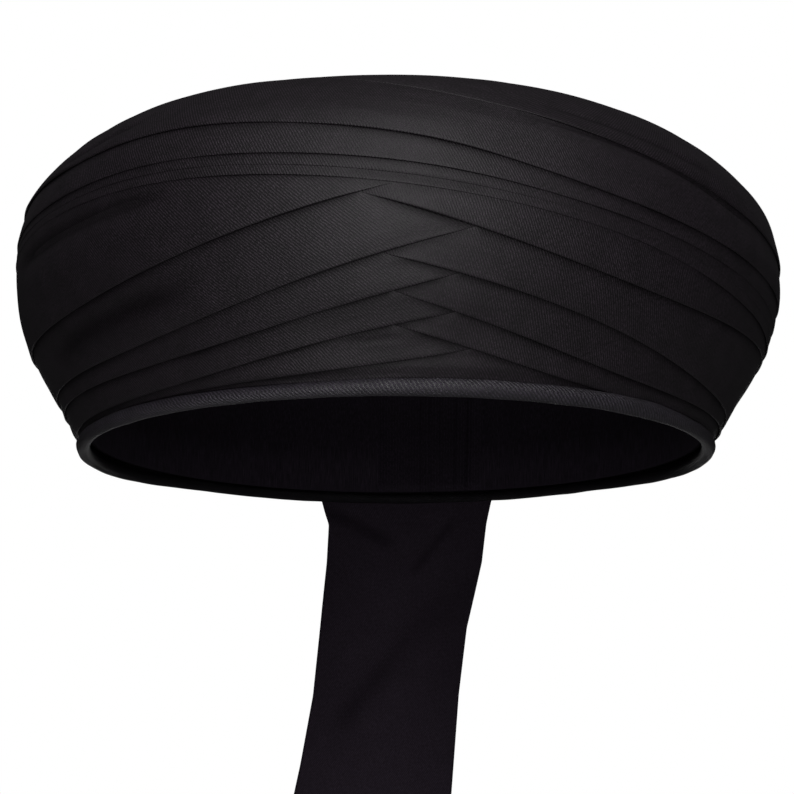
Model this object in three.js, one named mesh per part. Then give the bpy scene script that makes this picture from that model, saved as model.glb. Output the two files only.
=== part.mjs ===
// Imamah: a black turban wound over a soft cap, with a padded roll round its rim and a cloth
// tail hanging behind. Millimetres, +Z up. The turban faces -Y, and +X is the viewer's right.
// The origin is the middle of the head opening, in the plane that the roll's underside lies in.

import * as THREE from 'three';

// Head opening and rim roll
const OPENING_WIDTH = 175;
const OPENING_LENGTH = 205;
const ROLL_DIAMETER = 5;

// Wound form
const BELLY_OVERHANG = 20;
const CROWN_HEIGHT = 93.6;
const SIDE_LEAN = 3;
const SIDE_SHIFT = 1.2;

// Soft cap inside, as deep as the crown leaves it
const CAP_WALL = 1.8;
const TOP_PADDING = 9.6;
const CAP_DEPTH = CROWN_HEIGHT - TOP_PADDING;
const PANEL_WIDTH = 35;
const PANEL_HEIGHT = 55;
const PANEL_THICKNESS = 1.2;
const PANEL_CENTRE_X = 10;

// Turns of cloth
const TURN_THICKNESS = 2.2;
const CORE_EDGE = 1.8;
const TUCKED_THICKNESS = 0.9;
const BASE_TURN_THICKNESS = 1;
const FOLD_ROUNDING = 0.7;
const CROWN_CLOTH = 1.8;
const CROWN_SINK = 0.8;
const CROWN_DIP = 0.9;

// Tail
const TAIL_WIDTH = 53;
const TAIL_DROP = 103;
const TAIL_THICKNESS = 1.4;

// Clearances between pieces that touch in the real turban
const GAP = 0.3;
const LAYER_GAP = 0.8;

// Fineness of the faceted surfaces
const ANGLE_STEP = 10;
const CROSSING_CLEARANCE = 4.5;
const SEGMENT_LENGTH = 11;
const THINNEST_TURN = 1;
const ROLL_SIDES = 8;
const TAIL_COLUMNS = 8;
const TAIL_ROWS = 10;
const SHARE_STEP = 0.001;
const ANGLE_SAMPLE = 0.5;
const SAME_ANGLE = 0.6;

const HALF_WIDTH = (OPENING_WIDTH + ROLL_DIAMETER) / 2;
const HALF_LENGTH = (OPENING_LENGTH + ROLL_DIAMETER) / 2;
const DEGREE = Math.PI / 180;

// Outline of the wall from the rim to the crown's edge. out is a share of the belly's overhang,
// in is a share of the rim's half width, and up is a share of the crown's height.
const WALL_OUTLINE = [
  { out: 0.055, in: 0, up: 0.039 },
  { out: 0.34, in: 0, up: 0.149 },
  { out: 0.733, in: 0, up: 0.288 },
  { out: 0.976, in: 0, up: 0.447 },
  { out: 0.998, in: 0, up: 0.606 },
  { out: 0.754, in: 0, up: 0.751 },
  { out: 0.001, in: 0, up: 0.895 },
  { out: 0, in: 0.172, up: 0.957 },
  { out: 0, in: 0.389, up: 1 },
  { out: 0, in: 0.625, up: 0.996 },
];

// Turns that run all the way round, from the outermost one inwards. Each value is the height of
// the turn's lower fold, as a share of the wall's girth from the rim to the crown's edge, at an
// angle from the front: r is towards +X and l towards -X.
const TOP_TURNS = [
  { l135: 0.722, l90: 0.801, l60: 0.771, l30: 0.702,
    front: 0.587, r30: 0.475, r60: 0.395, r90: 0.363, r135: 0.423, back: 0.562 },
  { l135: 0.423, l90: 0.433, l60: 0.456, l30: 0.479,
    front: 0.439, r30: 0.358, r60: 0.309, r90: 0.289, r135: 0.334, back: 0.393 },
  { l135: 0.363, l90: 0.373, l60: 0.397, l30: 0.412,
    front: 0.385, r30: 0.327, r60: 0.276, r90: 0.249, r135: 0.289, back: 0.334 },
  { l135: 0.344, l90: 0.355, l60: 0.381, l30: 0.393,
    front: 0.363, r30: 0.311, r60: 0.254, r90: 0.226, r135: 0.266, back: 0.314 },
  { l135: 0.324, l90: 0.34, l60: 0.366, l30: 0.374,
    front: 0.346, r30: 0.295, r60: 0.233, r90: 0.204, r135: 0.244, back: 0.294 },
];
const TOP_TURN_ANGLES = {
  l135: -135, l90: -90, l60: -60, l30: -30, front: 0, r30: 30, r60: 60, r90: 90, r135: 135, back: 180,
};

// Turns that cross at the front and again at the back, from the outermost one inwards. side is
// where the fold lies low: -1 is the viewer's left and 1 the right. low, front and back are the
// fold's heights at that side, at the front and at the back, as shares of the wall's girth, and
// knee is how many degrees from the front or the back the fold leaves its low stretch. A fold
// that is higher at the back than the turns over it is hidden there.
const CROSSING_TURNS = [
  { side: -1, low: 0.18, front: 0.347, back: 0.289, knee: 51 },
  { side: 1, low: 0.182, front: 0.312, back: 0.266, knee: 37 },
  { side: -1, low: 0.085, front: 0.236, back: 0.209, knee: 39 },
  { side: 1, low: 0.045, front: 0.221, back: 0.189, knee: 62 },
  { side: -1, low: 0.055, front: 0.165, back: 0.145, knee: 30 },
  { side: 1, low: 0.023, front: 0.16, back: 0.13, knee: 35 },
  { side: -1, low: 0.008, front: 0.103, back: 0.09, knee: 34 },
  { side: 1, low: -0.007, front: 0.099, back: 0.08, knee: 30 },
  { side: -1, low: 0, front: 0.036, back: 0.304, knee: 17 },
];
const KNEE_SOFTNESS = 10;

// The roll round the rim. thick is a share of its diameter at its fullest. lift is 0 where its
// underside lies in the plane of the rim and 1 where its upper side lies level instead.
const ROLL_SHAPE = [
  { angle: -180, thick: 0.6, lift: 1 },
  { angle: -140, thick: 0.6, lift: 1 },
  { angle: -95, thick: 0.8, lift: 0 },
  { angle: -20, thick: 0.8, lift: 0 },
  { angle: 5, thick: 1, lift: 0 },
  { angle: 45, thick: 1, lift: 0 },
  { angle: 65, thick: 0.8, lift: 0 },
  { angle: 95, thick: 0.8, lift: 0 },
  { angle: 140, thick: 0.6, lift: 1 },
  { angle: 180, thick: 0.6, lift: 1 },
];

// The crown's edge, its rows further in and the top of the wound core, as shares of the girth.
// The crown's inner rows are shares of its ring at the girth's end.
const CROWN_EDGE = 0.722;
const CROWN_ROWS = [0.82, 0.92];
const CROWN_INNER_ROWS = [0.5];
const CORE_TOP = 0.96;
const CORE_WALL_ROWS = 6;

// The tail below the rim. down is a share of its drop, left and right are its edges and bow is
// how far its middle stands back from them, all three as shares of its width. The tail hangs
// free of the rim's curve from TAIL_FREE of its drop on.
const TAIL_OUTLINE = [
  { down: 0, left: -0.42, right: 0.565, bow: 0.09 },
  { down: 0.2, left: -0.415, right: 0.515, bow: 0.15 },
  { down: 0.4, left: -0.45, right: 0.42, bow: 0.19 },
  { down: 0.6, left: -0.49, right: 0.37, bow: 0.2 },
  { down: 0.8, left: -0.565, right: 0.34, bow: 0.17 },
  { down: 1, left: -0.655, right: 0.31, bow: 0.13 },
];
const TAIL_FREE = 0.35;

// The cap's outline is a squared-off ellipse, taken at these angles from its rim to its top. Its
// band and its top are sewn together at the last angle of the one and the first of the other.
const CAP_SQUARENESS = 4;
const CAP_BAND_ANGLES = [0, 12, 27, 40];
const CAP_TOP_ANGLES = [40, 54, 67, 80];

// Rows of cloth in the pleated panel: how far each ridge stands off the panel, at a share of
// the panel's width from its left edge
const PANEL_PLEATS = [
  { across: 0, proud: 0 },
  { across: 0.3, proud: 0 },
  { across: 0.42, proud: 0.9 },
  { across: 0.5, proud: 0 },
  { across: 0.62, proud: 0.7 },
  { across: 0.72, proud: 0 },
  { across: 0.84, proud: 0.9 },
  { across: 1, proud: 0 },
];

const wallCurve = new THREE.CatmullRomCurve3(
  WALL_OUTLINE.map((row) => new THREE.Vector3(
    row.out * BELLY_OVERHANG - row.in * HALF_WIDTH, 0, row.up * CROWN_HEIGHT)),
  false, 'catmullrom', 0.5);
wallCurve.arcLengthDivisions = 400;
const WALL_GIRTH = wallCurve.getLength();
const OUTER_HALF_WIDTH = HALF_WIDTH + BELLY_OVERHANG;

// The turban stands a little higher on its left side than on its right, and its top lies a
// little to the right
function leaned(x, y, z) {
  const lean = -SIDE_LEAN * x / OUTER_HALF_WIDTH * z / CROWN_HEIGHT;
  const shift = SIDE_SHIFT * Math.max(z, 0) / CROWN_HEIGHT;
  return new THREE.Vector3(x + shift, y, z + lean);
}

// A point on an ellipse that lies outside the rim's middle line by offset, at height z
function ringPoint(angle, offset, z) {
  const x = (HALF_WIDTH + offset) * Math.sin(angle * DEGREE);
  const y = -(HALF_LENGTH + offset) * Math.cos(angle * DEGREE);
  return leaned(x, y, z);
}

// Offset and height of the wall at a share of its girth, sunk by depth below its surface
function wallSection(share, depth) {
  const inside = THREE.MathUtils.clamp(share, 0, 1);
  const point = wallCurve.getPointAt(inside);
  const along = wallCurve.getTangentAt(inside);
  return { offset: point.x - along.z * depth, z: point.z + along.x * depth };
}

function wallPoint(angle, share, depth) {
  const section = wallSection(share, depth);
  return ringPoint(angle, section.offset, section.z);
}

// Smooth run through a top turn's heights, round the whole turban
const topTurnKeys = Object.keys(TOP_TURN_ANGLES);
function topTurnEdge(row, angle) {
  const count = topTurnKeys.length;
  const height = (i) => row[topTurnKeys[(i + count) % count]];
  const place = (i) => {
    const turnsRound = Math.floor(i / count) * 360;
    return TOP_TURN_ANGLES[topTurnKeys[(i + count) % count]] + turnsRound;
  };
  let i = count - 1;
  while (i > 0 && place(i) > angle) {
    i -= 1;
  }
  if (place(0) > angle) {
    i = -1;
  }
  const span = place(i + 1) - place(i);
  const t = (angle - place(i)) / span;
  const slopeStart = (height(i + 1) - height(i - 1)) / (place(i + 1) - place(i - 1)) * span;
  const slopeEnd = (height(i + 2) - height(i)) / (place(i + 2) - place(i)) * span;
  return (2 * t ** 3 - 3 * t ** 2 + 1) * height(i) + (t ** 3 - 2 * t ** 2 + t) * slopeStart
    + (3 * t ** 2 - 2 * t ** 3) * height(i + 1) + (t ** 3 - t ** 2) * slopeEnd;
}

// A crossing turn lies low on its own side and climbs straight over the front and the back
function crossingTurnEdge(row, angle) {
  const folded = Math.abs(angle) > 90 ? Math.sign(angle) * 180 - angle : angle;
  const past = row.knee - row.side * folded;
  const soft = (x) => KNEE_SOFTNESS * Math.log1p(Math.exp(x / KNEE_SOFTNESS));
  const facing = 0.5 + 0.5 * Math.cos(angle * DEGREE);
  const top = row.back + (row.front - row.back) * facing;
  return row.low + (top - row.low) * soft(past) / soft(row.knee);
}

// Radius of the roll and height of its middle line at an angle between -180 and 180
function rollSection(angle) {
  const after = Math.max(1, ROLL_SHAPE.findIndex((row) => row.angle >= angle));
  const [a, b] = [ROLL_SHAPE[after - 1], ROLL_SHAPE[after]];
  const t = THREE.MathUtils.smoothstep(angle, a.angle, b.angle);
  const radius = ROLL_DIAMETER / 2 * THREE.MathUtils.lerp(a.thick, b.thick, t);
  const lift = THREE.MathUtils.lerp(a.lift, b.lift, t);
  return { radius, middle: THREE.MathUtils.lerp(radius, ROLL_DIAMETER - radius, lift) };
}

// The lowest place for a fold at an angle, just clear of the roll. Each is worked out once.
const seats = new Map();
function seatShare(angle) {
  if (!seats.has(angle)) {
    seats.set(angle, lowestClearShare(rollSection(angle)));
  }
  return seats.get(angle);
}

function lowestClearShare({ radius, middle }) {
  const fromRoll = (share, depth) => {
    const { offset, z } = wallSection(share, depth);
    return Math.hypot(offset, z - middle) - radius;
  };
  let share = 0;
  while (Math.min(fromRoll(share, 0), fromRoll(share, TURN_THICKNESS)) < GAP) {
    share += SHARE_STEP;
  }
  return share;
}

// All turns in the order in which they lie over each other, outermost first. The base turn
// fills what the others leave open above the roll.
const turns = [
  ...TOP_TURNS.map((row, i) => ({ name: `top_turn_${i + 1}`, edge: (a) => topTurnEdge(row, a) })),
  ...CROSSING_TURNS.map((row, i) => ({
    name: `${row.side < 0 ? 'left' : 'right'}_turn_${Math.floor(i / 2) + 1}`,
    edge: (a) => Math.max(crossingTurnEdge(row, a), seatShare(a)),
  })),
  { name: 'base_turn', edge: seatShare },
];

// Angles where a turn's fold comes out from under the turns that lie over it
function crossingAngles() {
  const found = [];
  const lowest = (count, a) => Math.min(CROWN_EDGE, ...turns.slice(0, count).map((t) => t.edge(a)));
  turns.forEach((turn, k) => {
    const open = (a) => lowest(k, a) - turn.edge(a);
    for (let a = -180; a < 180; a += ANGLE_SAMPLE) {
      if ((open(a) > 0) !== (open(a + ANGLE_SAMPLE) > 0)) {
        found.push(a + ANGLE_SAMPLE * open(a) / (open(a) - open(a + ANGLE_SAMPLE)));
      }
    }
  });
  return found;
}

// One list of angles for every piece, so that neighbours have matching facets
function sharedAngles() {
  const angles = [];
  crossingAngles().sort((a, b) => a - b).forEach((a) => {
    if (angles.length === 0 || a - angles[angles.length - 1] > SAME_ANGLE) {
      angles.push(a);
    }
  });
  const crossings = [...angles];
  for (let a = -180; a < 180; a += ANGLE_STEP) {
    const clear = crossings.every((c) => Math.abs(((c - a + 540) % 360) - 180) > CROSSING_CLEARANCE);
    if (clear) {
      angles.push(a);
    }
  }
  return angles.sort((a, b) => a - b);
}
const ANGLES = sharedAngles();

// Every fold's height at the shared angles, and the lowest fold that lies over each turn
const folds = turns.map((turn) => ANGLES.map((a) => turn.edge(a)));
const covers = turns.map((turn, k) => ANGLES.map((a, i) => (
  Math.min(CROWN_EDGE, ...folds.slice(0, k).map((heights) => heights[i])))));

// A closed body through a row of matching outlines, either all the way round or with flat ends
function loft(outlines, goesRound) {
  const count = outlines[0].length;
  const positions = outlines.flatMap((outline) => outline.flatMap((p) => [p.x, p.y, p.z]));
  const index = [];
  const steps = goesRound ? outlines.length : outlines.length - 1;
  for (let i = 0; i < steps; i += 1) {
    const here = i * count;
    const next = ((i + 1) % outlines.length) * count;
    for (let j = 0; j < count; j += 1) {
      const k = (j + 1) % count;
      index.push(here + j, next + j, next + k);
      index.push(here + j, next + k, here + k);
    }
  }
  if (!goesRound) {
    const last = (outlines.length - 1) * count;
    for (const [a, b, c] of endFace(count)) {
      index.push(a, b, c, last + a, last + c, last + b);
    }
  }
  return closedBody(positions, index);
}

// Triangles over an outline whose two long sides run side by side
function endFace(count) {
  const triangles = [];
  let i = 0;
  let j = count - 1;
  while (i + 1 < j) {
    triangles.push([i, i + 1, j]);
    i += 1;
    if (i + 1 < j) {
      triangles.push([i, j - 1, j]);
      j -= 1;
    }
  }
  return triangles;
}

// Turns the faces outwards when the body was wound the other way
function closedBody(positions, index) {
  let volume = 0;
  const corner = (i) => new THREE.Vector3().fromArray(positions, i * 3);
  for (let i = 0; i < index.length; i += 3) {
    volume += corner(index[i]).dot(corner(index[i + 1]).cross(corner(index[i + 2])));
  }
  if (volume < 0) {
    index.reverse();
  }
  const geometry = new THREE.BufferGeometry();
  geometry.setAttribute('position', new THREE.Float32BufferAttribute(positions, 3));
  geometry.setIndex(index);
  geometry.computeVertexNormals();
  return geometry;
}

// Part of a list from the last round kept between two shared angles
function between(values, i, t) {
  const next = (i + 1) % values.length;
  return values[i] + (values[next] - values[i]) * t;
}

// A wall point that lies on the facets between two shared angles
function facetPoint(i, t, share, depth) {
  const here = wallPoint(ANGLES[i], share, depth);
  return here.lerp(wallPoint(ANGLES[(i + 1) % ANGLES.length], share, depth), t);
}

// The stretches of the shared angles where a turn shows, each a list of places { i, t }
function shownStretches(k) {
  const count = ANGLES.length;
  const thinnest = (THINNEST_TURN + GAP) / WALL_GIRTH;
  const open = ANGLES.map((a, i) => covers[k][i] - folds[k][i] - thinnest);
  const start = open.findIndex((value) => value <= 0);
  if (start < 0) {
    return [{ round: true, places: ANGLES.map((a, i) => ({ i, t: 0 })) }];
  }
  const stretches = [];
  let places = null;
  for (let step = 0; step < count; step += 1) {
    const i = (start + step) % count;
    const next = (i + 1) % count;
    if (open[i] > 0) {
      places.push({ i, t: 0 });
    }
    if ((open[i] > 0) !== (open[next] > 0)) {
      const t = open[i] / (open[i] - open[next]);
      if (open[i] > 0) {
        places.push({ i, t });
        stretches.push({ round: false, places });
        places = null;
      } else {
        places = [{ i, t }];
      }
    }
  }
  return stretches;
}

// Outline of a turn at one place: a thick rounded fold below, thinner where it is tucked away
function turnOutline(k, place, segments, thick, tucked) {
  const low = between(folds[k], place.i, place.t) + GAP / 2 / WALL_GIRTH;
  const high = between(covers[k], place.i, place.t) - GAP / 2 / WALL_GIRTH;
  const rounding = Math.min(FOLD_ROUNDING / WALL_GIRTH, (high - low) / 3);
  const face = TURN_THICKNESS - thick;
  const tuckedFace = TURN_THICKNESS - tucked;
  const at = (share, depth) => facetPoint(place.i, place.t, share, depth);
  const outline = [at(low, face + Math.min(FOLD_ROUNDING, thick / 2)), at(low + rounding, face)];
  for (let n = 1; n <= segments; n += 1) {
    const t = n / segments;
    outline.push(at(low + (high - low) * t, face + (tuckedFace - face) * t));
  }
  for (let n = segments; n >= 0; n -= 1) {
    outline.push(at(low + (high - low) * n / segments, TURN_THICKNESS));
  }
  return outline;
}

const group = new THREE.Group();

// Cloth colours: the outer turns, the lighter roll and the darker inside
const TURN_CLOTH = 0x1d1d1f;
const ROLL_CLOTH = 0x2c2a31;
const INNER_CLOTH = 0x100f12;
const TAIL_CLOTH = 0x131217;
const CLOTH_ROUGHNESS = 0.9;

function addPiece(name, geometry, color) {
  const material = new THREE.MeshStandardMaterial({ color, roughness: CLOTH_ROUGHNESS, metalness: 0 });
  const mesh = new THREE.Mesh(geometry, material);
  mesh.name = name;
  group.add(mesh);
}

function addTurns() {
  turns.forEach((turn, k) => {
    const isBase = turn.name === 'base_turn';
    const thick = isBase ? BASE_TURN_THICKNESS : TURN_THICKNESS;
    const tucked = isBase ? BASE_TURN_THICKNESS : TUCKED_THICKNESS;
    shownStretches(k).forEach((stretch) => {
      const tallest = Math.max(...stretch.places.map(({ i }) => covers[k][i] - folds[k][i]));
      const segments = Math.max(1, Math.round(tallest * WALL_GIRTH / SEGMENT_LENGTH));
      const outlines = stretch.places.map((place) => turnOutline(k, place, segments, thick, tucked));
      const middle = ANGLES[stretch.places[Math.floor(stretch.places.length / 2)].i];
      const name = isBase ? `base_turn_${Math.abs(middle) < 90 ? 'front' : 'back'}` : turn.name;
      addPiece(name, loft(outlines, stretch.round), TURN_CLOTH);
    });
  });
}

// Padded roll round the rim
function addRoll() {
  const outlines = ANGLES.map((angle) => {
    const { radius, middle } = rollSection(angle);
    const outline = [];
    for (let n = 0; n < ROLL_SIDES; n += 1) {
      const turn = 360 * DEGREE * n / ROLL_SIDES;
      outline.push(ringPoint(angle, radius * Math.cos(turn), middle + radius * Math.sin(turn)));
    }
    return outline;
  });
  addPiece('rim_roll', loft(outlines, true), ROLL_CLOTH);
}

// The cap's face at an angle along its outline, grown outwards by some thickness
const CAP_SEAT = ROLL_DIAMETER + GAP;
function capSection(turn, grown) {
  const cos = Math.cos(turn * DEGREE);
  const sin = Math.sin(turn * DEGREE);
  const power = 2 / CAP_SQUARENESS;
  const normal = new THREE.Vector2(cos ** (2 - power), sin ** (2 - power)).normalize();
  return {
    k: cos ** power,
    out: normal.x * grown,
    z: CAP_SEAT + (CAP_DEPTH - CAP_SEAT) * sin ** power + normal.y * grown,
  };
}

function capPoint(angle, turn, grown) {
  const section = capSection(turn, grown);
  const x = (OPENING_WIDTH / 2 * section.k + section.out) * Math.sin(angle * DEGREE);
  const y = -(OPENING_LENGTH / 2 * section.k + section.out) * Math.cos(angle * DEGREE);
  return leaned(x, y, section.z);
}

// A closed dome between an under face and an over face, each given as rings and a top point
function dome(under, over) {
  const rows = under.rings.length;
  const count = ANGLES.length;
  const points = [...under.rings.flat(), ...over.rings.flat(), under.top, over.top];
  const index = [];
  for (let i = 0; i < count; i += 1) {
    const next = (i + 1) % count;
    for (const layer of [0, 1]) {
      const facing = (a, b, c) => (layer === 0 ? [a, b, c] : [a, c, b]);
      for (let r = 0; r < rows - 1; r += 1) {
        const a = (layer * rows + r) * count;
        const b = a + count;
        index.push(...facing(a + i, a + next, b + next), ...facing(a + i, b + next, b + i));
      }
      const last = (layer * rows + rows - 1) * count;
      index.push(...facing(last + i, last + next, 2 * rows * count + layer));
    }
    const overRim = rows * count;
    index.push(i, overRim + i, overRim + next, i, overRim + next, next);
  }
  return closedBody(points.flatMap((p) => [p.x, p.y, p.z]), index);
}

// Band of the soft cap: its side wall, open at the rim
function addCapBand() {
  const outlines = ANGLES.map((angle) => [
    ...CAP_BAND_ANGLES.map((turn) => capPoint(angle, turn, 0)),
    ...CAP_BAND_ANGLES.map((turn) => capPoint(angle, turn, CAP_WALL)).reverse(),
  ]);
  addPiece('cap_band', loft(outlines, true), INNER_CLOTH);
}

// Top of the soft cap, sewn to the band all round
function addCapTop() {
  const seam = (grown) => {
    const [first, second] = CAP_TOP_ANGLES.map((turn) => capSection(turn, grown));
    return GAP / Math.hypot((second.k - first.k) * OPENING_WIDTH / 2, second.z - first.z);
  };
  const face = (grown) => {
    const rings = CAP_TOP_ANGLES.map((turn) => ANGLES.map((angle) => capPoint(angle, turn, grown)));
    rings[0] = rings[0].map((point, i) => point.lerp(rings[1][i], seam(grown)));
    return { rings, top: new THREE.Vector3(0, 0, CAP_DEPTH + grown) };
  };
  addPiece('cap_top', dome(face(0), face(CAP_WALL)), INNER_CLOTH);
}

// Inner turns of cloth: the thick core between the cap and the turns that show
function addCore() {
  const depth = TURN_THICKNESS + LAYER_GAP;
  const grown = CAP_WALL + GAP;
  const capSide = [...CAP_BAND_ANGLES.slice(1), ...CAP_TOP_ANGLES.slice(1, -1)].reverse();
  const capOffset = OPENING_WIDTH / 2 + grown - HALF_WIDTH;
  let bottom = Math.max(...ANGLES.map(seatShare));
  while (wallSection(bottom, depth).offset < capOffset + CORE_EDGE) {
    bottom += SHARE_STEP;
  }
  const levels = [];
  for (let n = 0; n <= CORE_WALL_ROWS; n += 1) {
    levels.push(bottom + (CROWN_EDGE - bottom) * n / CORE_WALL_ROWS);
  }
  levels.push(...CROWN_ROWS, CORE_TOP);
  const outlines = ANGLES.map((angle) => {
    const outline = levels.map((share) => wallPoint(angle, share, depth));
    capSide.forEach((turn) => outline.push(capPoint(angle, turn, grown)));
    outline.push(ringPoint(angle, capOffset, wallSection(bottom, depth).z));
    return outline;
  });
  addPiece('wound_core', loft(outlines, true), TURN_CLOTH);
}

// Crown cloth: a shallow disc inside the ring that the top turns leave open
function addCrown() {
  const levels = [CROWN_EDGE + GAP / WALL_GIRTH, ...CROWN_ROWS, 1];
  const face = (depth) => {
    const edge = wallSection(1, depth);
    const innerRing = (k) => ANGLES.map((angle) => leaned(
      (HALF_WIDTH + edge.offset) * k * Math.sin(angle * DEGREE),
      -(HALF_LENGTH + edge.offset) * k * Math.cos(angle * DEGREE),
      edge.z - CROWN_DIP * (1 - k)));
    return {
      rings: [
        ...levels.map((share) => ANGLES.map((angle) => wallPoint(angle, share, depth))),
        ...CROWN_INNER_ROWS.map(innerRing),
      ],
      top: new THREE.Vector3(0, 0, edge.z - CROWN_DIP),
    };
  };
  addPiece('crown', dome(face(CROWN_SINK), face(CROWN_SINK + CROWN_CLOTH)), TURN_CLOTH);
}

// Pleated strip of cloth on the inside of the cap's back wall
function addPanel() {
  const facetSag = OPENING_LENGTH / 2 * (1 - Math.cos(ANGLE_STEP / 2 * DEGREE));
  const left = PANEL_CENTRE_X - PANEL_WIDTH / 2;
  const top = CAP_SEAT + PANEL_HEIGHT;
  const heights = CAP_BAND_ANGLES.map((turn) => capSection(turn, 0).z).filter((z) => z < top);
  const outlines = [...heights, top].map((z) => {
    const k = capWidthShare(z);
    const backs = [];
    const faces = [];
    PANEL_PLEATS.forEach(({ across, proud }) => {
      const x = left + PANEL_WIDTH * across;
      const wall = OPENING_LENGTH / 2 * Math.sqrt(k ** 2 - (x / (OPENING_WIDTH / 2)) ** 2);
      const y = wall - facetSag - GAP;
      backs.push(leaned(x, y, z));
      faces.push(leaned(x, y - PANEL_THICKNESS - proud, z));
    });
    return [...backs, ...faces.reverse()];
  });
  addPiece('inner_panel', loft(outlines, false), INNER_CLOTH);
}

// How wide the cap is at a height, as a share of the head opening
function capWidthShare(z) {
  const sections = CAP_BAND_ANGLES.map((turn) => capSection(turn, 0));
  const above = Math.max(1, sections.findIndex((section) => section.z > z));
  const [low, high] = [sections[above - 1], sections[above]];
  return THREE.MathUtils.mapLinear(z, low.z, high.z, low.k, high.k);
}

// The height of the fold that lies over the base turn, at any angle
function baseCover(angle) {
  const count = ANGLES.length;
  const turn = angle < ANGLES[0] ? angle + 360 : angle;
  let i = count - 1;
  while (ANGLES[i] > turn) {
    i -= 1;
  }
  const nextAngle = i === count - 1 ? ANGLES[0] + 360 : ANGLES[i + 1];
  return between(covers[turns.length - 1], i, (turn - ANGLES[i]) / (nextAngle - ANGLES[i]));
}

// The tail's edges and bow at a share of its drop
function tailShape(down) {
  const last = TAIL_OUTLINE.length - 1;
  const i = Math.min(Math.floor(down * last), last - 1);
  const mix = (key) => THREE.MathUtils.lerp(TAIL_OUTLINE[i][key], TAIL_OUTLINE[i + 1][key], down * last - i);
  return { left: mix('left'), right: mix('right'), bow: mix('bow') };
}

// Tail: comes out from under the last crossing at the back, passes the roll and hangs down
function addTail() {
  const depth = TURN_THICKNESS - BASE_TURN_THICKNESS - 2 * GAP;
  const roll = rollSection(180);
  const rollClear = roll.radius + GAP;
  const top = TAIL_OUTLINE[0];
  const columns = [];
  for (let n = 0; n <= TAIL_COLUMNS; n += 1) {
    const u = n / TAIL_COLUMNS;
    const x = TAIL_WIDTH * (top.left + (top.right - top.left) * u);
    const fromBack = Math.asin(x / HALF_WIDTH) / DEGREE;
    columns.push({ u, angle: fromBack > 0 ? 180 - fromBack : -180 - fromBack });
  }
  const onRing = (angle, offset, z) => ({
    near: ringPoint(angle, offset, z),
    far: ringPoint(angle, offset + TAIL_THICKNESS, z),
  });
  const rows = [1, 0.5, 0].map((up) => columns.map(({ angle }) => {
    const high = baseCover(angle) - GAP / WALL_GIRTH;
    const section = wallSection(THREE.MathUtils.lerp(seatShare(angle), high, up), depth);
    return onRing(angle, Math.max(section.offset, rollClear), section.z);
  }));
  rows.push(columns.map(({ angle }) => onRing(angle, rollClear, roll.middle)));
  for (let r = 0; r <= TAIL_ROWS; r += 1) {
    const down = r / TAIL_ROWS;
    const shape = tailShape(down);
    const free = THREE.MathUtils.smoothstep(down, 0, TAIL_FREE);
    rows.push(columns.map(({ u, angle }) => {
      const x = TAIL_WIDTH * (shape.left + (shape.right - shape.left) * u);
      const onRim = -(HALF_LENGTH + rollClear) * Math.cos(angle * DEGREE);
      const hanging = HALF_LENGTH + rollClear - 4 * shape.bow * TAIL_WIDTH * (u - 0.5) ** 2;
      const y = THREE.MathUtils.lerp(onRim, hanging, free);
      const z = -down * TAIL_DROP;
      return { near: leaned(x, y, z), far: leaned(x, y + TAIL_THICKNESS, z) };
    }));
  }
  const outlines = rows.map((row) => [...row.map((p) => p.near), ...row.map((p) => p.far).reverse()]);
  addPiece('tail', loft(outlines, false), TAIL_CLOTH);
}

addRoll();
addCapBand();
addCapTop();
addPanel();
addCore();
addCrown();
addTurns();
addTail();

export default group;
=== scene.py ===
# %% [markdown]
# # A black wound turban
# An imamah is one long black cloth wound many times round a soft cap. Each turn shows as a band
# with a folded lower edge, the bands cross in a herringbone at the front, a padded roll closes
# the rim and the free end hangs behind. The CAD model holds the solid form of every piece. This
# lesson dresses that form in cloth: thin folded bands, fine twill, small creases and soft light.

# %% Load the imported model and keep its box
import math

import bmesh
import bpy
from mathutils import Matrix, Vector, noise
from mathutils.geometry import interpolate_bezier


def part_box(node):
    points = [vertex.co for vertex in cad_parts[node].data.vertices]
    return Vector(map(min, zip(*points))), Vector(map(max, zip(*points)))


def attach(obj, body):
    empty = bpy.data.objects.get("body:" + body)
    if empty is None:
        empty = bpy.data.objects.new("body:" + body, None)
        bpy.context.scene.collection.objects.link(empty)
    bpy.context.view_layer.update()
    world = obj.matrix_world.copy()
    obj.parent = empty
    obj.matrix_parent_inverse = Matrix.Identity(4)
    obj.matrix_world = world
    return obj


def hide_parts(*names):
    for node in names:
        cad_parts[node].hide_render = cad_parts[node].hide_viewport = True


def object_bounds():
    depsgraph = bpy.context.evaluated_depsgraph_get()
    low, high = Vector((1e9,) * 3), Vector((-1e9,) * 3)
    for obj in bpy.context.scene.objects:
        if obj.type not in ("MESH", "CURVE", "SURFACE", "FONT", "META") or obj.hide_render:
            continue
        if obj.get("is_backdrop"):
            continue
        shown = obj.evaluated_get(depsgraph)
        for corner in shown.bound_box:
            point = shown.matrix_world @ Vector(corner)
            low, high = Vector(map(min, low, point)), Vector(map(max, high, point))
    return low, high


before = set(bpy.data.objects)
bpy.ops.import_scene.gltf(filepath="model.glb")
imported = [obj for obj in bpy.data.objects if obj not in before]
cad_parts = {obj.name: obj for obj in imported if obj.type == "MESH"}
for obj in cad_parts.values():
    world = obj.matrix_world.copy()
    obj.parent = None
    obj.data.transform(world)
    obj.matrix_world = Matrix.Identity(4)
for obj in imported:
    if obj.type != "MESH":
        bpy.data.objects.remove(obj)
CAD_BOX = [list(corner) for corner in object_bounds()]
MM = 0.001
print("CAD nodes:", len(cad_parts))
print("CAD box in mm:", [[round(value / MM, 1) for value in corner] for corner in CAD_BOX])

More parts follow.
